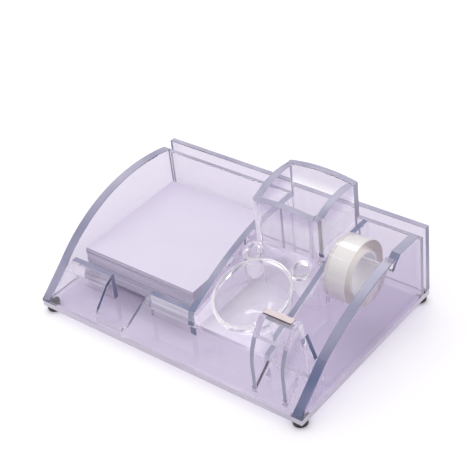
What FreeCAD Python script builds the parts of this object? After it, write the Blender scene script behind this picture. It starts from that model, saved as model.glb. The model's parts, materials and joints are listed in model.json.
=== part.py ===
import FreeCAD, Part
import os
from math import atan2, cos, radians, sqrt, tan

Vector = FreeCAD.Vector

# Desk organizer of clear bonded panels: memo tray, clip cup, tool sockets, tool bin and tape holder.
# Lengths are millimetres, measured from the left front corner of the base's underside.

# Sheets and edges
base_thickness = 4.0
side_thickness = 6.5
sheet = 3.0
edge_round = 0.6
cut_overrun = 5.0

# Feet
foot_diameter = 9.0
foot_height = 3.5
foot_round = 0.9
foot_edge_gap = 0.2

# Back panels, and the card slot between them
rear_height = 51.5
rear_thickness = 4.0
rear_left_end = 3.5
card_slot = 3.0
inner_back_height = 47.6

# Rising top edges of the side panels
tip_height = 1.5
left_height = 51.0
left_rise_shares = ((0.160, 0.381), (0.420, 0.828), (0.735, 1.0), (0.875, 0.985), (1.0, 0.925))
right_height = 50.6
right_rise_shares = ((0.214, 0.50), (0.484, 0.828), (0.823, 1.0), (1.0, 0.99))

# Front apron and inclined deck
lip_height = 6.0
bend_depth = 19.0
bend_height = 20.5
deck_slope_deg = 17.4
strip_depth = 5.5

# Memo tray
memo_width = 88.5
memo_depth = 86.5
memo_stack_height = 20.5
memo_left_gap = 0.6
memo_right_gap = 6.4
memo_front_gap = 8.0
memo_back_gap = 1.0
memo_wall_thickness = 4.0
divider_thickness = 4.5
divider_rise_shares = ((0.42, 0.69), (0.75, 0.97), (1.0, 1.0))
notch_centre = 55.2
notch_mouth = 34.0
notch_front = 25.0
notch_sill = 2.6
notch_corner = 5.0

# Clip cup and tool sockets, dropped into the deck
cup_bore = 45.0
cup_wall = 1.3
cup_floor = 8.0
cup_bowl_height = 12.5
cup_front_gap = 5.85
cup_side_gap = 0.3
bowl_share = 0.72
socket_bore = 9.6
socket_wall = 1.0
socket_reach = 19.0
socket_back_gap = 2.15
rim_height = 0.8
rim_width = 0.65
rim_gap = 0.3
drop_in_clearance = 0.2

# Tool bin
bin_back_height = 71.5
bin_front_height = 67.3
bin_arch = 2.7
bin_wall = 5.0
bin_inner_corner = 2.0
ledge_width = 4.5

# Tape channel
cheek_thickness = 3.5
cheek_height = 47.6
cheek_rise_shares = ((0.62, 0.86), (0.72, 1.0), (1.0, 1.0))

# Tape roll, hanging by its core on a thin axle
tape_radius = 20.5
tape_width = 15.0
tape_side_gap = 0.5
tape_back_gap = 8.6
tape_floor_gap = 9.3
core_bore = 25.0
core_wall = 1.5
hang_gap = 0.3
axle_radius = 1.2
axle_end_gap = 0.5
running_clearance = 0.05
slot_lean_deg = 47.0

# Cutter tower, blade and gusset
blade_width = 19.0
blade_left_inset = 1.0
blade_right_inset = 4.0
blade_front = 17.6
blade_back = 22.6
blade_thickness = 0.6
tooth_depth = 0.9
tooth_count = 19
tower_cheek = 3.0
tower_front = 3.8
tower_straight_height = 22.0
tower_belly_shares = (0.28, 0.62)
tower_top_front = 16.5
tower_top_back = 23.0
tower_back = 27.0
tower_shoulder = 27.0
tower_height = 52.6
tower_clearance = 0.3
bridge_height = 10.0
web_width = 5.5
web_top = 42.0

# Places across the width, from the left edge
memo_left = side_thickness + memo_left_gap
divider_left = memo_left + memo_width + memo_right_gap
bin_left = divider_left + divider_thickness
cup_rim_radius = cup_bore / 2 + cup_wall + rim_width
bin_width = 2 * (cup_rim_radius + cup_side_gap)
bin_right = bin_left + bin_width
cup_centre = bin_left + bin_width / 2
cheek_left = bin_right + ledge_width
channel_left = cheek_left + cheek_thickness
tape_left = channel_left + tape_side_gap
tape_right = tape_left + tape_width
tower_right = channel_left + blade_left_inset + blade_width + blade_right_inset
right_inner = tower_right + web_width
body_width = right_inner + side_thickness

# Places along the depth, from the front edge
strip_back = bend_depth + strip_depth
memo_wall_back = strip_back + memo_wall_thickness
memo_front = memo_wall_back + memo_front_gap
inner_back_front = memo_front + memo_depth + memo_back_gap
inner_back_rear = inner_back_front + sheet
rear_front = inner_back_rear + card_slot
body_depth = rear_front + rear_thickness
cup_depth = bend_depth + cup_front_gap + cup_rim_radius
socket_rim_radius = socket_bore / 2 + socket_wall + rim_width
socket_offset = bin_width / 2 - socket_rim_radius - rim_gap
rim_reach = cup_rim_radius + socket_rim_radius + rim_gap
socket_depth = cup_depth + sqrt(rim_reach * rim_reach - socket_offset * socket_offset)
bin_front = socket_depth + socket_rim_radius + socket_back_gap
bin_corner = bin_inner_corner + bin_wall
bin_side_front = bin_front + bin_corner
bin_back_front = inner_back_rear - bin_wall
roll_depth = inner_back_front - tape_back_gap - tape_radius

# Heights, from the base's underside
base_top = base_thickness
roll_height = base_top + tape_floor_gap + tape_radius
axle_height = roll_height + core_bore / 2 - hang_gap - axle_radius
axle_bore = axle_radius + running_clearance
deck_slope = tan(radians(deck_slope_deg))
deck_drop = sheet / cos(radians(deck_slope_deg))
cut_reach = max(bin_back_height, bin_front_height) + bin_arch + cut_overrun


def deck_at(y):
    return bend_height + deck_slope * (y - bend_depth)


def yz(y, z):
    return Vector(0, y, z)


def line(start, end):
    return Part.LineSegment(start, end).toShape()


def arc(start, middle, end):
    return Part.Arc(start, middle, end).toShape()


def outline(points):
    return [line(a, b) for a, b in zip(points, points[1:] + points[:1])]


def upright(edges, x_low, x_high):
    face = Part.Face(Part.Wire(edges))
    solid = face.extrude(Vector(x_high - x_low, 0, 0))
    solid.translate(Vector(x_low, 0, 0))
    return solid


def block(x_low, x_high, y_low, y_high, z_low, z_high):
    size = (x_high - x_low, y_high - y_low, z_high - z_low)
    return Part.makeBox(*size, Vector(x_low, y_low, z_low))


def rod(radius, x_low, x_high, height):
    """Level cylinder across the tape channel, in the roll's depth."""
    start = Vector(x_low, roll_depth, height)
    return Part.makeCylinder(radius, x_high - x_low, start, Vector(1, 0, 0))


def soften(shape, low):
    """Rounds the edges that lie wholly above a height."""
    return shape.makeFillet(edge_round, [e for e in shape.Edges if e.BoundBox.ZMin > low])


def rise_points(shares, y_low, y_high, height):
    """Points of a rising top edge, from shares of its run and of its height above the base."""
    run = y_high - y_low
    rise = height - base_top
    return [yz(y_low + run * along, base_top + rise * up) for along, up in shares]


def axle_slot(x_low, x_high):
    """Leaning open slot whose round end seats the axle."""
    seat = rod(axle_bore, x_low, x_high, axle_height)
    channel = block(x_low, x_high, roll_depth - axle_bore, roll_depth + axle_bore,
                    axle_height, axle_height + cut_reach)
    channel.rotate(Vector(0, roll_depth, axle_height), Vector(1, 0, 0), -slot_lean_deg)
    return seat.fuse(channel).removeSplitter()


def base_plate():
    plate = block(0, body_width, 0, body_depth, 0, base_top)
    corners = [e for e in plate.Edges if e.BoundBox.ZLength > base_top / 2]
    return plate.makeFillet(edge_round, corners)


def foot(x, y):
    radius = foot_diameter / 2
    pad = Part.makeCylinder(radius, foot_height, Vector(x, y, -foot_height))
    rim = [e for e in pad.Edges if e.BoundBox.ZMax < -foot_height / 2]
    return pad.makeFillet(foot_round, rim)


def left_side_panel():
    front, low, top, high, end = rise_points(left_rise_shares, 0, inner_back_rear, left_height)
    start = yz(0, base_top)
    tip = yz(0, base_top + tip_height)
    heel = yz(inner_back_rear, base_top)
    edges = [line(start, tip), line(tip, front), arc(front, low, top), arc(top, high, end)]
    edges += [line(end, heel), line(heel, start)]
    return soften(upright(edges, 0, side_thickness), base_top)


def right_side_panel():
    kink, middle, late, end = rise_points(right_rise_shares, 0, inner_back_front, right_height)
    lip = yz(0, lip_height)
    start = yz(0, base_top)
    heel = yz(inner_back_front, base_top)
    edges = [line(start, lip), line(lip, kink), arc(kink, middle, late), line(late, end)]
    edges += [line(end, heel), line(heel, start)]
    slot = axle_slot(right_inner - cut_overrun, body_width + cut_overrun)
    return soften(upright(edges, right_inner, body_width).cut(slot), base_top)


def memo_divider():
    run = inner_back_front - strip_back
    low = deck_at(strip_back)
    rise = inner_back_height - low
    points = [yz(strip_back + run * along, low + rise * up) for along, up in divider_rise_shares]
    middle, late, end = points
    start = yz(strip_back, low)
    toe = yz(strip_back, base_top)
    heel = yz(inner_back_front, base_top)
    edges = [line(toe, start), arc(start, middle, late), line(late, end), line(end, heel), line(heel, toe)]
    return upright(edges, divider_left, bin_left)


def tape_cheek():
    run = inner_back_front - bend_depth
    low = bend_height
    rise = cheek_height - low
    points = [yz(bend_depth + run * along, low + rise * up) for along, up in cheek_rise_shares]
    toe = yz(bend_depth, base_top)
    heel = yz(inner_back_front, base_top)
    cheek = upright(outline([toe, yz(bend_depth, low)] + points + [heel]), cheek_left, channel_left)
    return cheek.cut(axle_slot(cheek_left - cut_overrun, channel_left + cut_overrun))


def arched(start, end, start_height, end_height):
    """Edges of an upright wall on two low corners, whose top bows up between its end heights."""
    high_start = Vector(start.x, start.y, start_height)
    high_end = Vector(end.x, end.y, end_height)
    crown = (high_start + high_end) / 2 + Vector(0, 0, bin_arch)
    return [line(start, end), line(end, high_end), arc(high_end, crown, high_start), line(high_start, start)]


def arched_across(y, thickness, height):
    """Wall across the tool bin's width with an arched top."""
    edges = arched(Vector(bin_left, y, base_top), Vector(bin_right, y, base_top), height, height)
    return Part.Face(Part.Wire(edges)).extrude(Vector(0, thickness, 0))


def inner_back_panel():
    """Sheet across the back that thickens and rises behind the tool bin as the bin's back wall."""
    panel = block(side_thickness, body_width, inner_back_front, inner_back_rear, base_top, inner_back_height)
    raised = arched_across(bin_back_front, bin_wall, bin_back_height)
    return soften(panel.fuse(raised).removeSplitter(), base_top)


def rear_panel():
    return soften(block(rear_left_end, body_width, rear_front, body_depth, base_top, rear_height), base_top)


def finger_notch():
    """Tapered cutter, open towards the memo tray, with round front corners."""
    back = memo_wall_back + cut_overrun
    half_mouth = notch_mouth / 2
    half_front = notch_front / 2
    points = [Vector(notch_centre - half_mouth, back, 0), Vector(notch_centre - half_front, notch_sill, 0)]
    points += [Vector(notch_centre + half_front, notch_sill, 0), Vector(notch_centre + half_mouth, back, 0)]
    cutter = Part.Face(Part.Wire(outline(points))).extrude(Vector(0, 0, cut_reach))
    corners = [e for e in cutter.Edges if e.BoundBox.ZLength > cut_reach / 2 and e.BoundBox.YMax < back / 2]
    return cutter.makeFillet(notch_corner, corners)


def front_apron():
    """Sloping front sheet with a bent strip along the memo tray, a finger notch and slots for the tower's cheeks."""
    slope = (bend_height - lip_height) / bend_depth
    drop = sheet / cos(atan2(bend_height - lip_height, bend_depth))
    toe = (base_top - lip_height + drop) / slope
    slope_points = [yz(0, base_top), yz(0, lip_height), yz(bend_depth, bend_height)]
    slope_points += [yz(bend_depth, bend_height - drop), yz(toe, base_top)]
    strip_points = [yz(bend_depth, bend_height), yz(strip_back, deck_at(strip_back))]
    strip_points += [yz(strip_back, deck_at(strip_back) - deck_drop), yz(bend_depth, bend_height - deck_drop)]
    apron = upright(outline(slope_points), side_thickness, right_inner)
    strip = upright(outline(strip_points), side_thickness, bin_left)
    apron = apron.fuse(strip).cut(finger_notch())
    for cheek_side in (channel_left, tower_right - tower_cheek):
        cheek_slot = block(cheek_side - tower_clearance, cheek_side + tower_cheek + tower_clearance,
                           tower_front - tower_clearance, body_depth, 0, cut_reach)
        apron = apron.cut(cheek_slot)
    return apron.removeSplitter()


def memo_front_walls():
    """Low wall behind the strip, parted by the finger notch into a left and a right piece."""
    wall = block(side_thickness, divider_left, strip_back, memo_wall_back, base_top, deck_at(strip_back))
    return sorted(wall.cut(finger_notch()).Solids, key=lambda piece: piece.CenterOfMass.x)


def memo_sheets():
    x_high = memo_left + memo_width
    y_high = memo_front + memo_depth
    return block(memo_left, x_high, memo_front, y_high, base_top, base_top + memo_stack_height)


def socket_places():
    return [cup_centre - socket_offset, cup_centre + socket_offset]


def deck_slab(low, high):
    """Inclined layer between two heights above the deck's top, across the deck and a little beyond."""
    y_low = bend_depth - cut_overrun
    y_high = bin_front + cut_overrun
    points = [yz(y_low, deck_at(y_low) + low), yz(y_high, deck_at(y_high) + low)]
    points += [yz(y_high, deck_at(y_high) + high), yz(y_low, deck_at(y_low) + high)]
    return upright(outline(points), bin_left, cheek_left)


def deck():
    """Inclined sheet from the apron's bend to the tool bin, with round holes for the cup and the sockets."""
    high = deck_at(bin_side_front)
    points = [yz(bend_depth, bend_height), yz(bin_side_front, high)]
    points += [yz(bin_side_front, high - deck_drop), yz(bend_depth, bend_height - deck_drop)]
    ledge_place = block(bin_right, cheek_left, bin_front, body_depth, 0, cut_reach)
    plate = upright(outline(points), bin_left, cheek_left).cut(bin_plan(0)).cut(ledge_place)
    cup_hole = cup_bore / 2 + cup_wall + drop_in_clearance
    plate = plate.cut(Part.makeCylinder(cup_hole, cut_reach, Vector(cup_centre, cup_depth, 0)))
    socket_hole = socket_bore / 2 + socket_wall + drop_in_clearance
    for x in socket_places():
        plate = plate.cut(Part.makeCylinder(socket_hole, cut_reach, Vector(x, socket_depth, 0)))
    return plate


def drop_in(x, y, outer, radius, bore):
    """Trims a deep vessel to the deck's slope and gives it a rim that rests on the deck."""
    above = deck_slab(rim_height, cut_reach)
    rim = Part.makeCylinder(radius + rim_width, cut_reach, Vector(x, y, 0)).common(deck_slab(0, rim_height))
    rim = rim.cut(Part.makeCylinder(bore, cut_reach, Vector(x, y, 0)))
    return outer.cut(above).fuse(rim).removeSplitter()


def bowl(x, y, radius, floor, bowl_height, top):
    """Solid of a round-bottomed vessel about an upright axis."""
    sag = (1 - sqrt(1 - bowl_share * bowl_share)) * bowl_height
    foot_point = Vector(x, y, floor)
    corner = Vector(x + radius, y, floor + bowl_height)
    middle = Vector(x + radius * bowl_share, y, floor + sag)
    roof = Vector(x + radius, y, top)
    axis_top = Vector(x, y, top)
    edges = [arc(foot_point, middle, corner), line(corner, roof), line(roof, axis_top), line(axis_top, foot_point)]
    return Part.Face(Part.Wire(edges)).revolve(Vector(x, y, 0), Vector(0, 0, 1), 360)


def clip_cup():
    bore = cup_bore / 2
    radius = bore + cup_wall
    outer = bowl(cup_centre, cup_depth, radius, cup_floor, cup_bowl_height, cut_reach)
    inner = bowl(cup_centre, cup_depth, bore, cup_floor + cup_wall, cup_bowl_height, cut_reach + cut_overrun)
    return drop_in(cup_centre, cup_depth, outer.cut(inner), radius, bore)


def tool_socket(x):
    bore = socket_bore / 2
    radius = bore + socket_wall
    floor = deck_at(socket_depth) - socket_reach
    outer = bowl(x, socket_depth, radius, floor - socket_wall, radius, cut_reach)
    inner = bowl(x, socket_depth, bore, floor, bore, cut_reach + cut_overrun)
    return drop_in(x, socket_depth, outer.cut(inner), radius, bore)


def bin_plan(inset):
    """Solid of the tool bin's plan with round front corners, set in from its outside."""
    y_low = bin_front + inset
    plan = block(bin_left + inset, bin_right - inset, y_low, inner_back_front + cut_overrun, 0, cut_reach)
    corners = [e for e in plan.Edges if e.BoundBox.ZLength > cut_reach / 2 and e.BoundBox.YMax < bin_side_front]
    return plan.makeFillet(bin_corner - inset, corners)


def bin_front_wall():
    """Front of the tool bin, bent round at both ends to meet the side walls."""
    wall = arched_across(bin_front, bin_corner, bin_front_height)
    return wall.common(bin_plan(0)).cut(bin_plan(bin_wall))


def bin_side_wall(x_low):
    start = yz(bin_side_front, base_top)
    end = yz(bin_back_front, base_top)
    return upright(arched(start, end, bin_front_height, bin_back_height), x_low, x_low + bin_wall)


def side_ledge():
    return block(bin_right, cheek_left, bin_front, inner_back_front, cheek_height - sheet, cheek_height)


def tower_side():
    """Outline of the tower seen from the side."""
    belly_run, belly_rise = tower_belly_shares
    toe = yz(tower_front, base_top)
    knee = yz(tower_front, tower_straight_height)
    brow = yz(tower_top_front, tower_height)
    belly = yz(tower_front + (tower_top_front - tower_front) * belly_run,
               tower_straight_height + (tower_height - tower_straight_height) * belly_rise)
    crest = yz(tower_top_back, tower_height)
    shoulder = yz(tower_back, tower_shoulder)
    heel = yz(tower_back, base_top)
    edges = [line(toe, knee), arc(knee, belly, brow), line(brow, crest), line(crest, shoulder)]
    return edges + [line(shoulder, heel), line(heel, toe)]


def cutter_tower():
    """Two shaped cheeks joined by a back panel and a bridge under the blade, open in front."""
    whole = upright(tower_side(), channel_left, tower_right)
    inside_left = channel_left + tower_cheek
    inside_right = tower_right - tower_cheek
    core = Part.Wire(tower_side()).makeOffset2D(-sheet)
    hollow = upright(core.Edges, inside_left, inside_right)
    below = block(inside_left, inside_right, tower_front + sheet, tower_back - sheet, 0, base_top + 2 * sheet)
    mouth = block(inside_left, inside_right, 0, tower_top_back - sheet, 0, tower_height - bridge_height)
    return whole.cut(hollow).cut(below).cut(mouth).removeSplitter()


def cutter_blade():
    """Flat steel strip with a row of teeth along its front edge."""
    x_low = channel_left + blade_left_inset
    pitch = blade_width / tooth_count
    points = [Vector(x_low, blade_back, 0), Vector(x_low, blade_front + tooth_depth, 0)]
    for tooth in range(tooth_count):
        points.append(Vector(x_low + (tooth + 0.5) * pitch, blade_front, 0))
        points.append(Vector(x_low + (tooth + 1) * pitch, blade_front + tooth_depth, 0))
    points.append(Vector(x_low + blade_width, blade_back, 0))
    blade = Part.Face(Part.Wire(outline(points))).extrude(Vector(0, 0, blade_thickness))
    blade.translate(Vector(0, 0, tower_height))
    return blade


def tower_web():
    """Small upright gusset between the tower and the right side panel."""
    y_low = tower_back - sheet
    points = [Vector(tower_right, y_low, base_top), Vector(right_inner, y_low, base_top)]
    points += [Vector(right_inner, y_low, tower_shoulder), Vector(tower_right, y_low, web_top)]
    return Part.Face(Part.Wire(outline(points))).extrude(Vector(0, sheet, 0))


def tape_axle():
    return rod(axle_radius, cheek_left + axle_end_gap, body_width - axle_end_gap, axle_height)


def tape_ring(inner, outer):
    ring = rod(outer, tape_left, tape_right, roll_height)
    return ring.cut(rod(inner, tape_left - cut_overrun, tape_right + cut_overrun, roll_height))


def organizer():
    pieces = {"base_plate": base_plate()}
    foot_inset = foot_diameter / 2 + foot_edge_gap
    for end, y in (("front", foot_inset), ("rear", body_depth - foot_inset)):
        for side, x in (("left", foot_inset), ("right", body_width - foot_inset)):
            pieces["foot_" + end + "_" + side] = foot(x, y)
    pieces["left_side_panel"] = left_side_panel()
    pieces["right_side_panel"] = right_side_panel()
    pieces["rear_panel"] = rear_panel()
    pieces["inner_back_panel"] = inner_back_panel()
    pieces["memo_divider"] = memo_divider()
    pieces["memo_front_wall_left"], pieces["memo_front_wall_right"] = memo_front_walls()
    pieces["memo_sheets"] = memo_sheets()
    pieces["front_apron"] = front_apron()
    pieces["deck"] = deck()
    pieces["clip_cup"] = clip_cup()
    for side, x in zip(("left", "right"), socket_places()):
        pieces["tool_socket_" + side] = tool_socket(x)
    pieces["bin_front_wall"] = bin_front_wall()
    pieces["bin_left_wall"] = bin_side_wall(bin_left)
    pieces["bin_right_wall"] = bin_side_wall(bin_right - bin_wall)
    pieces["side_ledge"] = side_ledge()
    pieces["tape_cheek"] = tape_cheek()
    pieces["cutter_tower"] = cutter_tower()
    pieces["cutter_blade"] = cutter_blade()
    pieces["tower_web"] = tower_web()
    core_radius = core_bore / 2
    pieces["tape_axle"] = tape_axle()
    pieces["tape_core"] = tape_ring(core_radius, core_radius + core_wall)
    pieces["wound_tape"] = tape_ring(core_radius + core_wall, tape_radius)
    return pieces


os.makedirs("parts", exist_ok=True)
for name, shape in organizer().items():
    # The frame's origin is the middle of the footprint, on the plane that the feet stand on.
    shape.translate(Vector(-body_width / 2, -body_depth / 2, foot_height))
    print(name, len(shape.Solids), shape.isValid(), round(shape.Volume, 1))
    shape.exportStep("parts/" + name + ".step")
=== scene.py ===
"""Looks for a desk organizer of clear bonded panels: finishes, paper stack, tape roll, studio and camera."""

import json
import math
import random

import bmesh
import bpy
from bpy.props import FloatProperty, FloatVectorProperty, IntProperty, PointerProperty
from mathutils import Matrix, Vector
from mathutils.bvhtree import BVHTree


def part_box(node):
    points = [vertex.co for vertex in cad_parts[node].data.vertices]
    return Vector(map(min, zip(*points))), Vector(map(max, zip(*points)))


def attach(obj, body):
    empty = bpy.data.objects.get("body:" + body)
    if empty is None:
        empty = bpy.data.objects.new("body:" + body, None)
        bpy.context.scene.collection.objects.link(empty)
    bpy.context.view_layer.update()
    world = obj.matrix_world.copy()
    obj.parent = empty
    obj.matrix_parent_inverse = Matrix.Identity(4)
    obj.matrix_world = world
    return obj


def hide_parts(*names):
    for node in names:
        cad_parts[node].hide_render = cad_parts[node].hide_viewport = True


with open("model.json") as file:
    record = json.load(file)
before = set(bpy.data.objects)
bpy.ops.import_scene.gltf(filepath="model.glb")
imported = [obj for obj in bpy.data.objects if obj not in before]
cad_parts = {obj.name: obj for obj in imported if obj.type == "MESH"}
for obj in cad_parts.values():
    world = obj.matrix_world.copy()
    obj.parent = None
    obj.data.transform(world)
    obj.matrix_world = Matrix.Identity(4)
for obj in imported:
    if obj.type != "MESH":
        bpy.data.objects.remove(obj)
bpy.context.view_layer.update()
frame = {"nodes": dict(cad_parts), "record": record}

bl_info = {
    "name": "Clear Desk Organizer",
    "version": (1, 0, 0),
    "blender": (4, 5, 0),
    "location": "View3D > Sidebar > Organizer",
    "description": "Finishes, paper stack, tape roll and studio for a clear desk organizer",
    "category": "Object",
}

NODES = frame["nodes"]
BODIES = frame["record"]["behaviour"]["bodies"]
FEET = [name for name in BODIES["organizer"] if name.startswith("foot_")]
BLADE = "cutter_blade"
CLEAR_PANELS = [name for name in BODIES["organizer"] if name not in FEET + [BLADE]]
SHELL = ("base_plate", "rear_panel", "left_side_panel", "right_side_panel")
TALL_WALLS = ("bin_front_wall", "bin_left_wall", "bin_right_wall", "inner_back_panel")
VESSELS = ("clip_cup", "tool_socket_left", "tool_socket_right")
APRON = "front_apron"
# Shares of the painted edge shade on level and on upright cut edges; steeper edges are painted darker
USUAL_EDGE_SHADE_SHARES = (0.5, 1.0)
EDGE_SHADE_SHARES = {
    "base_plate": (0.0, 0.0),
    "right_side_panel": (0.55, 1.2),
    "memo_divider": (0.7, 1.2),
    "rear_panel": (0.5, 0.75),
    "inner_back_panel": (0.5, 0.65),
    "cutter_tower": (0.3, 0.65),
    "tower_web": (1.0, 1.2),
    "memo_front_wall_left": (0.75, 0.8),
    "memo_front_wall_right": (0.75, 0.8),
    "tape_cheek": (0.9, 0.3),
    APRON: (0.05, 1.0),
}
# Ways that cut edges face which have little plastic behind them, and the least agreement with them
CUT_DIRECTIONS = {APRON: (0, 1, 0), "cutter_tower": (0, 0, -1), "tower_web": (0.94, 0, 0.34)}
CUT_AGREEMENT = 0.9
EDGE_SHADE_LAYER = "edge_shade_share"
CUT_LAYER = "cut_side"
MILLIMETRE = 0.001
FULL_TURN = 2 * math.pi
MERGE_REACH = 0.001 * MILLIMETRE
FLAT_ANGLE = math.radians(0.3)
BRUSHED_STRETCH = (1.0, 60.0, 60.0)
SHEET_STRETCH = (6.0, 6.0, 2600.0)
CLEAR_BOUNCES = 32
GLOSS_BOUNCES = 12
MATT_BOUNCES = 6
GLOSS_BLUR = 0.5
SKY_RISE = 0.7
NEAREST_VIEW = 0.01


def colour_property(name, description, default):
    return FloatVectorProperty(
        name=name, description=description, default=default, subtype="COLOR", min=0, max=1
    )


def share_property(name, description, default):
    return FloatProperty(name=name, description=description, default=default, min=0, max=1)


def index_property(name, description, default):
    return FloatProperty(name=name, description=description, default=default, min=1, max=2)


def length_property(name, description, default):
    return FloatProperty(name=name, description=description, default=default, unit="LENGTH")


def angle_property(name, description, default):
    return FloatProperty(name=name, description=description, default=default, subtype="ANGLE")


def power_property(name, description, default):
    return FloatProperty(name=name, description=description, default=default, min=0, unit="POWER")


def sides_property(name, description, default):
    return FloatVectorProperty(name=name, description=description, default=default, size=2, unit="LENGTH")


def place_property(name, description, default):
    return FloatVectorProperty(name=name, description=description, default=default, subtype="TRANSLATION")


class ClearPlasticSettings(bpy.types.PropertyGroup):
    """Finish of the clear panels."""

    tint: colour_property("Tint", "Colour that a pane inside gives to light", (0.985, 0.98, 0.99))
    # Partly the outer sheets' own tint, partly painted shade of the lavender surroundings seen through them
    shell_tint_and_shade: colour_property("Shell tint", "Colour that an outer sheet gives", (0.745, 0.705, 0.805))
    pale_edge: colour_property("Pale edge", "Colour of the lightest cut edges", (0.62, 0.58, 0.68))
    # Painted shade given to the steepest cut edges
    painted_edge_shade: colour_property("Deep edge", "Colour of the darkest cut edges", (0.08, 0.105, 0.215))
    edge_rough: share_property("Edge rough", "Roughness of a cut edge", 0.2)
    edge_clear: share_property("Edge clear", "Clearness of a cut edge", 0.15)
    vessel_clear: share_property("Vessel clear", "Clearness of cup and sockets", 0.85)
    wall_clear: share_property("Wall clear", "Clearness of the tall walls", 0.93)
    rise: length_property("Rise", "Height over which tall walls take the shell's tint", 7 * MILLIMETRE)
    edge_depth: length_property("Edge depth", "Least depth of plastic behind a cut edge", 10 * MILLIMETRE)
    fit_reach: length_property("Fit reach", "Distance within which a slot fits a panel", 0.5 * MILLIMETRE)
    ior: index_property("IOR", "Refractive index", 1.49)
    bond_ior: index_property("Bond IOR", "Step of index across a bond", 1)
    smooth: share_property("Smooth", "Roughness of clean faces", 0.01)
    handled: share_property("Handled", "Roughness of handled patches", 0.06)
    ripple: length_property("Ripple", "Height of the moulded ripple", 0.02 * MILLIMETRE)
    bond_gap: length_property("Bond gap", "Half the gap between bonded faces", 0.015 * MILLIMETRE)
    bond_reach: length_property("Bond reach", "Distance within which faces are bonded", 0.1 * MILLIMETRE)
    edge_round: length_property("Edge round", "Polished round of the sharp edges", 0.35 * MILLIMETRE)
    sharp_angle: angle_property("Sharp angle", "Smallest turn of a sharp edge", math.radians(35))


class PaperSettings(bpy.types.PropertyGroup):
    """Stack of memo sheets."""

    sheaves: IntProperty(name="Sheaves", description="Bundles that slipped", default=30, min=1)
    slip: length_property("Slip", "Largest sideways slip of a bundle", 0.22 * MILLIMETRE)
    twist: angle_property("Twist", "Largest turn of a bundle", math.radians(0.12))
    colour: colour_property("Paper", "Colour of a sheet", (0.615, 0.575, 0.685))
    # Painted shade in the gaps between the sheets' edges
    gap_shade_colour: colour_property("Edges", "Colour between the sheets' edges", (0.36, 0.35, 0.44))
    seed: IntProperty(name="Seed", description="Start of the random slips", default=7)


class TapeSettings(bpy.types.PropertyGroup):
    """Wound tape on its core."""

    bands: IntProperty(name="Bands", description="Bands of turns that stand in or out", default=16, min=2)
    band_step: length_property("Band step", "Largest set-back of a band", 0.12 * MILLIMETRE)
    grip: length_property("Grip", "Depth of the first turn in the core's face", 0.2 * MILLIMETRE)
    segments: IntProperty(name="Segments", description="Steps round the roll", default=144, min=12)
    sharp_angle: angle_property("Sharp angle", "Smallest turn of a sharp edge", math.radians(30))
    film_colour: colour_property("Film", "Colour of the wound film", (0.95, 0.93, 0.905))
    side_colour: colour_property("Sides", "Colour of the turns' cut edges", (0.72, 0.66, 0.60))
    core_colour: colour_property("Core", "Colour of the board core", (0.82, 0.81, 0.82))
    ior: index_property("IOR", "Refractive index of the film", 1.47)
    seed: IntProperty(name="Seed", description="Start of the random set-backs", default=3)


class SmallPartSettings(bpy.types.PropertyGroup):
    """Rubber feet and cutter blade."""

    rubber_colour: colour_property("Rubber", "Colour of the feet", (0.012, 0.012, 0.014))
    # Partly the steel's own grey, partly a painted pink reflection of the surroundings
    steel_and_reflection_colour: colour_property("Steel", "Colour of the blade", (0.52, 0.45, 0.46))
    # Painted shade of the serrations: a dark strip along the teeth, and its depth
    teeth_shade_colour: colour_property("Teeth", "Colour of the blade's ground teeth", (0.05, 0.042, 0.046))
    teeth_shade_depth: length_property("Teeth depth", "Depth of the ground strip", 0.8 * MILLIMETRE)


class StudioSettings(bpy.types.PropertyGroup):
    """Floor, light and camera."""

    floor_colour: colour_property("Floor", "Colour of the floor", (0.90, 0.90, 0.905))
    floor_size: length_property("Floor size", "Side of the floor", 6)
    dome_strength: FloatProperty(name="Dome", description="Strength of the surroundings", default=1.04, min=0)
    zenith: colour_property("Zenith", "Colour of the surroundings overhead", (1.0, 0.99, 1.0))
    horizon: colour_property("Horizon", "Colour of the surroundings at eye level", (0.61, 0.585, 0.645))
    softbox_power: power_property("Softbox", "Power of the softbox", 1.7)
    softbox_size: sides_property("Softbox size", "Sides of the softbox", (0.28, 0.73))
    softbox_place: place_property("Softbox place", "Middle of the softbox", (-0.67, -0.225, 1.06))
    fill_power: power_property("Fill", "Power of the fill light", 4)
    fill_size: sides_property("Fill size", "Sides of the fill light", (0.6, 0.6))
    fill_place: place_property("Fill place", "Middle of the fill light", (-0.35, 0.55, 1.15))
    camera_place: place_property("Camera place", "Camera's place", (0.41578, -0.45366, 0.50143))
    azimuth: angle_property("Azimuth", "Camera's turn from the front", math.radians(42.044))
    elevation: angle_property("Elevation", "Camera's height angle", math.radians(36.049))
    roll: angle_property("Roll", "Camera's tilt", math.radians(-6.967))
    lens: FloatProperty(name="Lens", description="Focal length in millimetres", default=98.38, min=1)
    sensor: FloatProperty(name="Sensor", description="Sensor width in millimetres", default=36, min=1)


# Shader helpers


def new_material(name):
    material = bpy.data.materials.new(name)
    material.use_nodes = True
    nodes = material.node_tree.nodes
    return material, nodes, material.node_tree.links, nodes["Principled BSDF"]


def place_group(nodes, links, group, vector, **values):
    node = nodes.new("ShaderNodeGroup")
    node.node_tree = group
    links.new(vector, node.inputs["Vector"])
    for name, value in values.items():
        node.inputs[name.replace("_", " ")].default_value = value
    return node


def add_bump(nodes, links, shader, height, distance, strength=1.0):
    bump = nodes.new("ShaderNodeBump")
    bump.inputs["Distance"].default_value = distance
    bump.inputs["Strength"].default_value = strength
    links.new(height, bump.inputs["Height"])
    links.new(bump.outputs["Normal"], shader.inputs["Normal"])


def object_coordinates(nodes):
    return nodes.new("ShaderNodeTexCoord").outputs["Object"]


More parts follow.
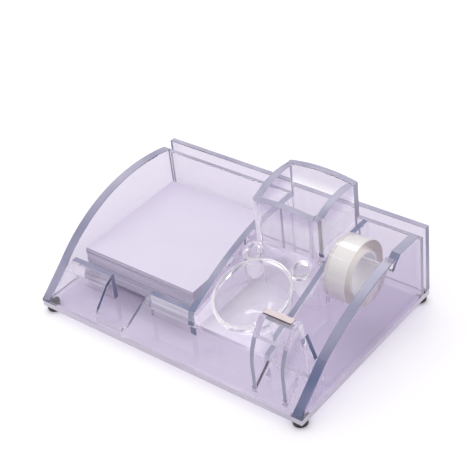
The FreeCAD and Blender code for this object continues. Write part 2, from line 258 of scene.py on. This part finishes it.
def group_shell(name, inputs, outputs):
    """Empty node group with named sockets; each input is a name, a socket kind and a default."""
    group = bpy.data.node_groups.new(name, "ShaderNodeTree")
    group.interface.new_socket("Vector", in_out="INPUT", socket_type="NodeSocketVector")
    for label, kind, default in inputs:
        socket = group.interface.new_socket(label, in_out="INPUT", socket_type=kind)
        socket.default_value = default
    for label, kind in outputs:
        group.interface.new_socket(label, in_out="OUTPUT", socket_type=kind)
    return group, group.nodes.new("NodeGroupInput"), group.nodes.new("NodeGroupOutput")


def noise(tree, vector, scale, detail, roughness=0.5):
    """Noise texture; scale is a number or an output socket."""
    node = tree.nodes.new("ShaderNodeTexNoise")
    node.inputs["Detail"].default_value = detail
    node.inputs["Roughness"].default_value = roughness
    if isinstance(scale, bpy.types.NodeSocket):
        tree.links.new(scale, node.inputs["Scale"])
    else:
        node.inputs["Scale"].default_value = scale
    tree.links.new(vector, node.inputs["Vector"])
    return node.outputs["Fac"]


def math_node(tree, operation, first, second=0.0):
    node = tree.nodes.new("ShaderNodeMath")
    node.operation = operation
    for socket, value in zip(node.inputs, (first, second)):
        if isinstance(value, bpy.types.NodeSocket):
            tree.links.new(value, socket)
        else:
            socket.default_value = value
    return node.outputs["Value"]


def map_range(tree, value, low, high, to_low=0.0, to_high=1.0):
    node = tree.nodes.new("ShaderNodeMapRange")
    for socket, source in zip(node.inputs, (value, low, high, to_low, to_high)):
        if isinstance(source, bpy.types.NodeSocket):
            tree.links.new(source, socket)
        else:
            socket.default_value = source
    return node.outputs["Result"]


def mix_colours(tree, mask, first, second):
    node = tree.nodes.new("ShaderNodeMix")
    node.data_type = "RGBA"
    sockets = [node.inputs[0], node.inputs[6], node.inputs[7]]
    for socket, value in zip(sockets, (mask, first, second)):
        if isinstance(value, bpy.types.NodeSocket):
            tree.links.new(value, socket)
        else:
            socket.default_value = value
    return node.outputs[2]


def opaque(colour):
    return (*colour, 1.0)


def scaled(colour, share):
    return [channel * share for channel in colour]


def lifted(colour, step):
    return [min(1.0, channel + step) for channel in colour]


def handling_group():
    """Patches of finger marks and fine rubs, as a roughness and a height."""
    number = "NodeSocketFloat"
    inputs = [("Patch Scale", number, 30.0), ("Smooth", number, 0.02), ("Handled", number, 0.1)]
    group, source, sink = group_shell("Handling marks", inputs, [("Roughness", number), ("Height", number)])
    vector = source.outputs["Vector"]
    patches = noise(group, vector, source.outputs["Patch Scale"], detail=3.0)
    rubs = noise(group, vector, scale=900.0, detail=2.0)
    wear = map_range(group, math_node(group, "MULTIPLY", patches, rubs), 0.18, 0.42)
    rough = map_range(group, wear, 0.0, 1.0, source.outputs["Smooth"], source.outputs["Handled"])
    group.links.new(rough, sink.inputs["Roughness"])
    group.links.new(noise(group, vector, scale=60.0, detail=1.0), sink.inputs["Height"])
    return group


def grain_group():
    """Fine mottled grain between two colours, with its height."""
    number = "NodeSocketFloat"
    colour = "NodeSocketColor"
    inputs = [
        ("Grain Scale", number, 2000.0),
        ("Dark", colour, (0.4, 0.4, 0.4, 1)),
        ("Light", colour, (0.6, 0.6, 0.6, 1)),
    ]
    group, source, sink = group_shell("Fine grain", inputs, [("Color", colour), ("Height", number)])
    vector = source.outputs["Vector"]
    grain = noise(group, vector, source.outputs["Grain Scale"], detail=4.0, roughness=0.65)
    cloud = noise(group, vector, scale=40.0, detail=2.0)
    mask = map_range(group, math_node(group, "ADD", grain, cloud), 0.7, 1.3)
    colours = mix_colours(group, mask, source.outputs["Dark"], source.outputs["Light"])
    group.links.new(colours, sink.inputs["Color"])
    group.links.new(grain, sink.inputs["Height"])
    return group


def shared_group(name, maker):
    return bpy.data.node_groups.get(name) or maker()


def pass_daylight(nodes, links, shader, tint):
    """Lets light from the surroundings through a clear shader to the matt surfaces behind it."""
    path = nodes.new("ShaderNodeLightPath")
    either = nodes.new("ShaderNodeMath")
    either.operation = "MAXIMUM"
    links.new(path.outputs["Is Shadow Ray"], either.inputs[0])
    links.new(path.outputs["Is Diffuse Ray"], either.inputs[1])
    clear = nodes.new("ShaderNodeBsdfTransparent")
    clear.inputs["Color"].default_value = opaque([math.sqrt(channel) for channel in tint])
    mix = nodes.new("ShaderNodeMixShader")
    links.new(either.outputs["Value"], mix.inputs[0])
    links.new(shader.outputs["BSDF"], mix.inputs[1])
    links.new(clear.outputs["BSDF"], mix.inputs[2])
    links.new(mix.outputs["Shader"], nodes["Material Output"].inputs["Surface"])


# Materials


def attribute(tree, name):
    node = tree.nodes.new("ShaderNodeAttribute")
    node.attribute_name = name
    return node.outputs["Fac"]


def clear_plastic_material(settings, name, tint, top_tint_and_shade, clearness, ior):
    """Clear plastic, which may take another tint above the rear panel; that shell tint is partly painted
    shade of the lavender surroundings seen through the plastic.
    """
    material, nodes, links, shader = new_material(name)
    tree = material.node_tree
    vector = object_coordinates(nodes)
    marks = place_group(
        nodes, links, shared_group("Handling marks", handling_group), vector,
        Smooth=settings.smooth, Handled=settings.handled,
    )
    clouds = noise(tree, vector, scale=25.0, detail=2.0)
    pale = opaque(lifted(tint, 0.01))
    place = nodes.new("ShaderNodeSeparateXYZ")
    links.new(vector, place.inputs["Vector"])
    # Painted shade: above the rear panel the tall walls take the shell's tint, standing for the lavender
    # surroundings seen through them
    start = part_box("rear_panel")[1].z + settings.rise
    upper = map_range(tree, place.outputs["Z"], start, start + settings.rise)
    colour = mix_colours(tree, upper, mix_colours(tree, clouds, opaque(tint), pale), opaque(top_tint_and_shade))
    links.new(colour, shader.inputs["Base Color"])
    links.new(marks.outputs["Roughness"], shader.inputs["Roughness"])
    add_bump(nodes, links, shader, marks.outputs["Height"], settings.ripple)
    shader.inputs["IOR"].default_value = ior
    shader.inputs["Transmission Weight"].default_value = clearness
    pass_daylight(nodes, links, shader, tint)
    return material


def edge_material(settings):
    """Satin cut edges whose colour is painted shade, darker the more steeply they stand."""
    material, nodes, links, shader = new_material("clear_edge")
    tree = material.node_tree
    vector = object_coordinates(nodes)
    marks = place_group(
        nodes, links, shared_group("Handling marks", handling_group), vector,
        Smooth=settings.edge_rough, Handled=settings.edge_rough + settings.handled,
    )
    clouds = map_range(tree, noise(tree, vector, scale=30.0, detail=1.0), 0.3, 0.7, -0.15, 0.12)
    share = math_node(tree, "ADD", attribute(tree, EDGE_SHADE_LAYER), clouds)
    colour = mix_colours(tree, share, opaque(settings.pale_edge), opaque(settings.painted_edge_shade))
    links.new(colour, shader.inputs["Base Color"])
    links.new(marks.outputs["Roughness"], shader.inputs["Roughness"])
    shader.inputs["IOR"].default_value = settings.ior
    shader.inputs["Transmission Weight"].default_value = settings.edge_clear
    pass_daylight(nodes, links, shader, settings.shell_tint_and_shade)
    return material


def rubber_material(settings):
    material, nodes, links, shader = new_material("foot_rubber")
    tree = material.node_tree
    vector = object_coordinates(nodes)
    pale = lifted(settings.rubber_colour, 0.02)
    grain = place_group(
        nodes, links, shared_group("Fine grain", grain_group), vector,
        Grain_Scale=2500.0, Dark=opaque(settings.rubber_colour), Light=opaque(pale),
    )
    links.new(grain.outputs["Color"], shader.inputs["Base Color"])
    links.new(map_range(tree, grain.outputs["Height"], 0.3, 0.7, 0.45, 0.65), shader.inputs["Roughness"])
    add_bump(nodes, links, shader, grain.outputs["Height"], 0.05 * MILLIMETRE)
    return material


def steel_material(settings):
    """Brushed steel whose pink tone is partly painted reflection, with painted shade in a dark strip along
    the teeth.
    """
    material, nodes, links, shader = new_material("blade_steel")
    tree = material.node_tree
    vector = object_coordinates(nodes)
    mapping = nodes.new("ShaderNodeMapping")
    mapping.inputs["Scale"].default_value = BRUSHED_STRETCH
    links.new(vector, mapping.inputs["Vector"])
    brushed = noise(tree, mapping.outputs["Vector"], scale=120.0, detail=4.0)
    dark = opaque(scaled(settings.steel_and_reflection_colour, 0.8))
    steel = mix_colours(tree, brushed, dark, opaque(settings.steel_and_reflection_colour))
    place = nodes.new("ShaderNodeSeparateXYZ")
    links.new(vector, place.inputs["Vector"])
    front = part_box(BLADE)[0].y
    strip_end = front + settings.teeth_shade_depth
    # Painted shade: a dark strip along the teeth
    ground = map_range(tree, place.outputs["Y"], front + settings.teeth_shade_depth / 2, strip_end)
    links.new(mix_colours(tree, ground, opaque(settings.teeth_shade_colour), steel), shader.inputs["Base Color"])
    links.new(map_range(tree, brushed, 0.3, 0.7, 0.22, 0.4), shader.inputs["Roughness"])
    shader.inputs["Metallic"].default_value = 1.0
    add_bump(nodes, links, shader, brushed, 0.01 * MILLIMETRE)
    return material


def paper_material(settings):
    """Paper whose cut sides show fine level lines of painted shade in the gaps between sheets."""
    material, nodes, links, shader = new_material("memo_paper")
    tree = material.node_tree
    vector = object_coordinates(nodes)
    pale = lifted(settings.colour, 0.03)
    grain = place_group(
        nodes, links, shared_group("Fine grain", grain_group), vector,
        Grain_Scale=1500.0, Dark=opaque(settings.colour), Light=opaque(pale),
    )
    mapping = nodes.new("ShaderNodeMapping")
    mapping.inputs["Scale"].default_value = SHEET_STRETCH
    links.new(vector, mapping.inputs["Vector"])
    lines = noise(tree, mapping.outputs["Vector"], scale=1.0, detail=2.0)
    cut = attribute(tree, CUT_LAYER)
    # Painted shade: dark lines in the gaps between sheets, on the cut sides only
    gap_shade_mask = math_node(tree, "MULTIPLY", map_range(tree, lines, 0.35, 0.65), cut)
    colour = mix_colours(tree, gap_shade_mask, grain.outputs["Color"], opaque(settings.gap_shade_colour))
    links.new(colour, shader.inputs["Base Color"])
    shader.inputs["Roughness"].default_value = 0.75
    shader.inputs["Specular IOR Level"].default_value = 0.3
    height = math_node(tree, "SUBTRACT", grain.outputs["Height"], math_node(tree, "MULTIPLY", gap_shade_mask, 2.0))
    add_bump(nodes, links, shader, height, 0.03 * MILLIMETRE)
    return material


def ring_distance(tree, vector, centre):
    """Distance of a surface point from the roll's level axis."""
    shift = tree.nodes.new("ShaderNodeVectorMath")
    shift.operation = "SUBTRACT"
    tree.links.new(vector, shift.inputs[0])
    shift.inputs[1].default_value = centre
    flat = tree.nodes.new("ShaderNodeVectorMath")
    flat.operation = "MULTIPLY"
    tree.links.new(shift.outputs["Vector"], flat.inputs[0])
    flat.inputs[1].default_value = (0, 1, 1)
    length = tree.nodes.new("ShaderNodeVectorMath")
    length.operation = "LENGTH"
    tree.links.new(flat.outputs["Vector"], length.inputs[0])
    return length.outputs["Value"]


def film_material(settings, centre):
    """Clear film whose cut turns show as frosted rings on the roll's sides."""
    material, nodes, links, shader = new_material("tape_film")
    tree = material.node_tree
    vector = object_coordinates(nodes)
    radius = ring_distance(tree, vector, centre)
    rings = tree.nodes.new("ShaderNodeTexNoise")
    rings.noise_dimensions = "1D"
    rings.inputs["Scale"].default_value = 6000.0
    rings.inputs["Detail"].default_value = 2.0
    links.new(radius, rings.inputs["W"])
    clouds = noise(tree, vector, scale=70.0, detail=2.0)
    mask = math_node(tree, "MULTIPLY", rings.outputs["Fac"], clouds)
    dark = opaque(scaled(settings.side_colour, 0.88))
    turns = mix_colours(tree, map_range(tree, mask, 0.1, 0.4), dark, opaque(settings.side_colour))
    cut = attribute(tree, CUT_LAYER)
    links.new(mix_colours(tree, cut, opaque(settings.film_colour), turns), shader.inputs["Base Color"])
    frosted = map_range(tree, rings.outputs["Fac"], 0.3, 0.7, 0.3, 0.5)
    links.new(map_range(tree, cut, 0.0, 1.0, 0.03, frosted), shader.inputs["Roughness"])
    shader.inputs["Transmission Weight"].default_value = 1.0
    shader.inputs["IOR"].default_value = settings.ior
    add_bump(nodes, links, shader, math_node(tree, "MULTIPLY", rings.outputs["Fac"], cut), 0.02 * MILLIMETRE)
    pass_daylight(nodes, links, shader, settings.film_colour)
    return material


def board_material(settings):
    material, nodes, links, shader = new_material("core_board")
    tree = material.node_tree
    vector = object_coordinates(nodes)
    dark = scaled(settings.core_colour, 0.85)
    grain = place_group(
        nodes, links, shared_group("Fine grain", grain_group), vector,
        Grain_Scale=1800.0, Dark=opaque(dark), Light=opaque(settings.core_colour),
    )
    links.new(grain.outputs["Color"], shader.inputs["Base Color"])
    links.new(map_range(tree, grain.outputs["Height"], 0.3, 0.7, 0.7, 0.85), shader.inputs["Roughness"])
    add_bump(nodes, links, shader, grain.outputs["Height"], 0.06 * MILLIMETRE)
    return material


def dress(node_names, material):
    """Gives CAD nodes one material."""
    for name in node_names:
        mesh = NODES[name].data
        mesh.materials.clear()
        mesh.materials.append(material)


def node_tree():
    """Search tree of the clear panels' CAD faces, and the node of each face."""
    points, faces, owners = [], [], []
    for name in CLEAR_PANELS:
        mesh = NODES[name].data
        start = len(points)
        points += [vertex.co[:] for vertex in mesh.vertices]
        for polygon in mesh.polygons:
            faces.append([start + index for index in polygon.vertices])
            owners.append(name)
    return BVHTree.FromPolygons(points, faces), owners


def merged_copy(name, settings, tree, owners):
    """Copy of a clear CAD node, sharp edges polished round, a hair of air at its bonds, cut edges marked."""
    shape = bmesh.new()
    shape.from_mesh(NODES[name].data)
    bmesh.ops.remove_doubles(shape, verts=shape.verts[:], dist=MERGE_REACH)
    bmesh.ops.dissolve_limit(
        shape, angle_limit=FLAT_ANGLE, verts=shape.verts[:], edges=shape.edges[:],
        use_dissolve_boundaries=False,
    )

    def beside_panel(point, reach):
        near = tree.find_nearest_range(point, reach)
        return any(owners[index] != name for _, _, index, _ in near)

    sharp = [
        edge for edge in shape.edges
        if edge.is_manifold and edge.calc_face_angle() > settings.sharp_angle
        and not beside_panel((edge.verts[0].co + edge.verts[1].co) / 2, settings.bond_reach)
    ]
    bmesh.ops.bevel(
        shape, geom=sharp, offset=settings.edge_round, offset_type="OFFSET", affect="EDGES", segments=2,
        profile=0.5, clamp_overlap=True, material=-1,
    )
    shape.normal_update()
    for vertex in shape.verts:
        vertex.co -= vertex.normal * settings.bond_gap
    shape.normal_update()
    solid = BVHTree.FromBMesh(shape)
    layer = shape.faces.layers.float.new(EDGE_SHADE_LAYER)
    level, upright = EDGE_SHADE_SHARES.get(name, USUAL_EDGE_SHADE_SHARES)
    cut_direction = Vector(CUT_DIRECTIONS.get(name, (0, 0, 0)))
    for face in shape.faces:
        inside = face.calc_center_median() - face.normal * settings.bond_gap
        depth = solid.ray_cast(inside, -face.normal)[3] or 0.0
        is_slant = face.normal.dot(cut_direction) > CUT_AGREEMENT
        # Painted shade: the steeper a cut edge stands, the larger its share of the dark painted edge colour
        steepness = 0.0 if is_slant else math.sqrt(1 - min(1.0, max(0.0, face.normal.z)))
        face[layer] = level + (upright - level) * steepness
        is_cut = is_slant or depth > settings.edge_depth
        is_clear = name in VESSELS or name == APRON and beside_panel(inside, settings.fit_reach)
        is_bonded = beside_panel(inside, settings.bond_reach)
        face.material_index = 2 if is_bonded else 1 if is_cut and not is_clear else 0
    return shape


def mark_cuts(shape, axis, across):
    """Marks the faces that lie along an axis, or those across it, as cut sides."""
    shape.normal_update()
    layer = shape.faces.layers.float.new(CUT_LAYER)
    for face in shape.faces:
        is_across = abs(face.normal.dot(axis)) > math.sqrt(0.5)
        face[layer] = 1.0 if is_across == across else 0.0


def shade(mesh, sharp_angle):
    """Smooth shading that breaks at sharp edges."""
    for layer in [item for item in mesh.attributes if item.name == "custom_normal"]:
        mesh.attributes.remove(layer)
    mesh.shade_smooth()
    mesh.set_sharp_from_angle(angle=sharp_angle)


def finish_mesh(shape, name, body, materials, nodes):
    """Turns a bmesh into a piece that rides on a body and stands for CAD nodes."""
    mesh = bpy.data.meshes.new(name)
    shape.to_mesh(mesh)
    shape.free()
    piece = bpy.data.objects.new(name, mesh)
    bpy.context.scene.collection.objects.link(piece)
    for material in materials:
        mesh.materials.append(material)
    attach(piece, body)
    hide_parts(*nodes)
    return piece


# Operators


class ORGANIZER_OT_clear_panels(bpy.types.Operator):
    """Gives the bonded panels, cup and sockets their clear plastic."""

    bl_idname = "organizer.clear_panels"
    bl_label = "Clear Panels"

    def execute(self, context):
        settings = context.scene.organizer_plastic
        tint, shell_tint_and_shade = settings.tint, settings.shell_tint_and_shade
        panes = clear_plastic_material(settings, "clear_plastic", tint, tint, 1.0, settings.ior)
        shell = clear_plastic_material(settings, "clear_shell", shell_tint_and_shade, shell_tint_and_shade, 1.0, settings.ior)
        walls = clear_plastic_material(
            settings, "clear_wall", tint, shell_tint_and_shade, settings.wall_clear, settings.ior
        )
        vessels = clear_plastic_material(
            settings, "clear_vessel", tint, tint, settings.vessel_clear, settings.ior
        )
        bonds = clear_plastic_material(settings, "clear_bond", tint, tint, 1.0, settings.bond_ior)
        edges = edge_material(settings)
        finishes = {}
        for names, material in ((SHELL, shell), (TALL_WALLS, walls), (VESSELS, vessels)):
            finishes.update({name: material for name in names})
        tree, owners = node_tree()
        for name in CLEAR_PANELS:
            shape = merged_copy(name, settings, tree, owners)
            materials = [finishes.get(name, panes), edges, bonds]
            piece = finish_mesh(shape, "clear_" + name, "organizer", materials, [name])
            shade(piece.data, settings.sharp_angle)
            flats = piece.modifiers.new("flat_faces", "WEIGHTED_NORMAL")
            flats.keep_sharp = True
        dress(["tape_axle"], panes)
        return {"FINISHED"}


class ORGANIZER_OT_small_parts(bpy.types.Operator):
    """Gives the feet their rubber and the blade its steel."""

    bl_idname = "organizer.small_parts"
    bl_label = "Feet and Blade"

    def execute(self, context):
        settings = context.scene.organizer_small
        dress(FEET, rubber_material(settings))
        dress([BLADE], steel_material(settings))
        return {"FINISHED"}


class ORGANIZER_OT_memo_stack(bpy.types.Operator):
    """Models the memo sheets as bundles that slipped a little against each other."""

    bl_idname = "organizer.memo_stack"
    bl_label = "Memo Stack"

    def execute(self, context):
        settings = context.scene.organizer_paper
        low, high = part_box("memo_sheets")
        draw = random.Random(settings.seed)
        shares = [draw.uniform(0.5, 1.5) for _ in range(settings.sheaves)]
        total = sum(shares)
        margin = settings.slip + (high.x - low.x) * settings.twist / 2
        width, depth = high.x - low.x - 2 * margin, high.y - low.y - 2 * margin
        middle = (low + high) / 2
        bottom = low.z
        shape = bmesh.new()
        for share in shares:
            thickness = (high.z - low.z) * share / total
            slip = [draw.uniform(-settings.slip, settings.slip) for _ in range(2)]
            place = Matrix.Translation((middle.x + slip[0], middle.y + slip[1], bottom + thickness / 2))
            turn = Matrix.Rotation(draw.uniform(-settings.twist, settings.twist), 4, "Z")
            size = Matrix.Diagonal((width, depth, thickness, 1))
            bmesh.ops.create_cube(shape, size=1, matrix=place @ turn @ size)
            bottom += thickness
        mark_cuts(shape, Vector((0, 0, 1)), False)
        finish_mesh(shape, "memo_stack", "memo", [paper_material(settings)], ["memo_sheets"])
        return {"FINISHED"}


class ORGANIZER_OT_tape_roll(bpy.types.Operator):
    """Models the wound tape with uneven sides, and finishes its core."""

    bl_idname = "organizer.tape_roll"
    bl_label = "Tape Roll"

    def execute(self, context):
        settings = context.scene.organizer_tape
        low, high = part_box("wound_tape")
        core_low, core_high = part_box("tape_core")
        centre = (low + high) / 2
        inner = (core_high.z - core_low.z) / 2 - settings.grip
        outer = (high.z - low.z) / 2
        draw = random.Random(settings.seed)
        shape = bmesh.new()
        profile = []
        pitch = (outer - inner) / settings.bands
        for side in (low.x, high.x):
            inward = 1 if side < centre.x else -1
            points = []
            for band in range(settings.bands):
                x = side + inward * draw.uniform(0, settings.band_step)
                points += [(x, inner + band * pitch), (x, inner + (band + 1) * pitch)]
            profile += points if inward > 0 else points[::-1]
        ring = [shape.verts.new((x, centre.y, centre.z + radius)) for x, radius in profile]
        for first, second in zip(ring, ring[1:] + ring[:1]):
            shape.edges.new((first, second))
        bmesh.ops.spin(
            shape, geom=shape.verts[:] + shape.edges[:], cent=centre, axis=(1, 0, 0), angle=FULL_TURN,
            steps=settings.segments, use_merge=True,
        )
        bmesh.ops.remove_doubles(shape, verts=shape.verts[:], dist=MERGE_REACH)
        bmesh.ops.recalc_face_normals(shape, faces=shape.faces[:])
        mark_cuts(shape, Vector((1, 0, 0)), True)
        roll = finish_mesh(
            shape, "tape_roll", "roll", [film_material(settings, centre)], ["wound_tape"]
        )
        shade(roll.data, settings.sharp_angle)
        dress(["tape_core"], board_material(settings))
        return {"FINISHED"}


class ORGANIZER_OT_studio(bpy.types.Operator):
    """Builds the floor, the lights and the camera."""

    bl_idname = "organizer.studio"
    bl_label = "Studio"

    def execute(self, context):
        settings = context.scene.organizer_studio
        self.floor(context, settings)
        self.lights(context, settings)
        self.camera(context, settings)
        return {"FINISHED"}

    def floor(self, context, settings):
        shape = bmesh.new()
        bmesh.ops.create_grid(shape, x_segments=1, y_segments=1, size=settings.floor_size / 2)
        mesh = bpy.data.meshes.new("floor")
        shape.to_mesh(mesh)
        shape.free()
        floor = bpy.data.objects.new("floor", mesh)
        context.scene.collection.objects.link(floor)
        material, nodes, links, shader = new_material("floor_paint")
        tree = material.node_tree
        dark = opaque(lifted(settings.floor_colour, -0.01))
        clouds = noise(tree, object_coordinates(nodes), scale=3.0, detail=2.0)
        links.new(mix_colours(tree, clouds, dark, opaque(settings.floor_colour)), shader.inputs["Base Color"])
        shader.inputs["Roughness"].default_value = 0.9
        shader.inputs["Specular IOR Level"].default_value = 0.1
        mesh.materials.append(material)

    def lights(self, context, settings):
        scene = context.scene
        world = bpy.data.worlds.new("surroundings")
        world.use_nodes = True
        tree = world.node_tree
        background = tree.nodes["Background"]
        direction = tree.nodes.new("ShaderNodeSeparateXYZ")
        tree.links.new(tree.nodes.new("ShaderNodeTexCoord").outputs["Generated"], direction.inputs["Vector"])
        height = map_range(tree, direction.outputs["Z"], 0.0, SKY_RISE)
        sky = mix_colours(tree, height, opaque(settings.horizon), opaque(settings.zenith))
        tree.links.new(sky, background.inputs["Color"])
        background.inputs["Strength"].default_value = settings.dome_strength
        scene.world = world
        self.area_light(
            context, "softbox", settings.softbox_place, settings.softbox_size, settings.softbox_power
        )
        self.area_light(context, "fill", settings.fill_place, settings.fill_size, settings.fill_power)
        scene.view_settings.view_transform = "Standard"
        cycles = scene.cycles
        cycles.max_bounces = CLEAR_BOUNCES
        cycles.transmission_bounces = CLEAR_BOUNCES
        cycles.transparent_max_bounces = CLEAR_BOUNCES
        cycles.glossy_bounces = GLOSS_BOUNCES
        cycles.diffuse_bounces = MATT_BOUNCES
        cycles.blur_glossy = GLOSS_BLUR

    def area_light(self, context, name, place, sides, power):
        """Level rectangle that lights downwards."""
        lamp = bpy.data.lights.new(name, "AREA")
        lamp.shape = "RECTANGLE"
        lamp.size, lamp.size_y = sides
        lamp.energy = power
        light = bpy.data.objects.new(name, lamp)
        light.location = place
        context.scene.collection.objects.link(light)

    def camera(self, context, settings):
        data = bpy.data.cameras.new("camera")
        data.lens = settings.lens
        data.sensor_width = settings.sensor
        data.clip_start = NEAREST_VIEW
        camera = bpy.data.objects.new("camera", data)
        context.scene.collection.objects.link(camera)
        level = math.cos(settings.elevation)
        sine, cosine = math.sin(settings.azimuth), math.cos(settings.azimuth)
        back = Vector((sine * level, -cosine * level, math.sin(settings.elevation)))
        right = Vector((cosine, sine, 0))
        turn = Matrix((right, back.cross(right), back)).transposed() @ Matrix.Rotation(settings.roll, 3, "Z")
        camera.matrix_world = Matrix.Translation(settings.camera_place) @ turn.to_4x4()
        context.scene.camera = camera


class ORGANIZER_PT_sidebar(bpy.types.Panel):
    """Lists the organizer's steps in the sidebar."""

    bl_idname = "ORGANIZER_PT_sidebar"
    bl_label = "Clear Desk Organizer"
    bl_space_type = "VIEW_3D"
    bl_region_type = "UI"
    bl_category = "Organizer"

    def draw(self, context):
        for operator in OPERATORS:
            self.layout.operator(operator.bl_idname)
        for name in SETTINGS:
            group = getattr(context.scene, name)
            column = self.layout.column(align=True)
            for key in group.bl_rna.properties.keys():
                if key not in ("rna_type", "name"):
                    column.prop(group, key)


SETTINGS = {
    "organizer_plastic": ClearPlasticSettings,
    "organizer_paper": PaperSettings,
    "organizer_tape": TapeSettings,
    "organizer_small": SmallPartSettings,
    "organizer_studio": StudioSettings,
}
OPERATORS = (
    ORGANIZER_OT_clear_panels,
    ORGANIZER_OT_small_parts,
    ORGANIZER_OT_memo_stack,
    ORGANIZER_OT_tape_roll,
    ORGANIZER_OT_studio,
)


def register():
    for group in SETTINGS.values():
        bpy.utils.register_class(group)
    for name, group in SETTINGS.items():
        setattr(bpy.types.Scene, name, PointerProperty(type=group))
    for operator in OPERATORS:
        bpy.utils.register_class(operator)
    bpy.utils.register_class(ORGANIZER_PT_sidebar)


def unregister():
    bpy.utils.unregister_class(ORGANIZER_PT_sidebar)
    for operator in reversed(OPERATORS):
        bpy.utils.unregister_class(operator)
    for name, group in SETTINGS.items():
        delattr(bpy.types.Scene, name)
        bpy.utils.unregister_class(group)


def main():
    register()
    bpy.ops.organizer.clear_panels()
    bpy.ops.organizer.small_parts()
    bpy.ops.organizer.memo_stack()
    bpy.ops.organizer.tape_roll()
    bpy.ops.organizer.studio()


if __name__ == "__main__":
    main()
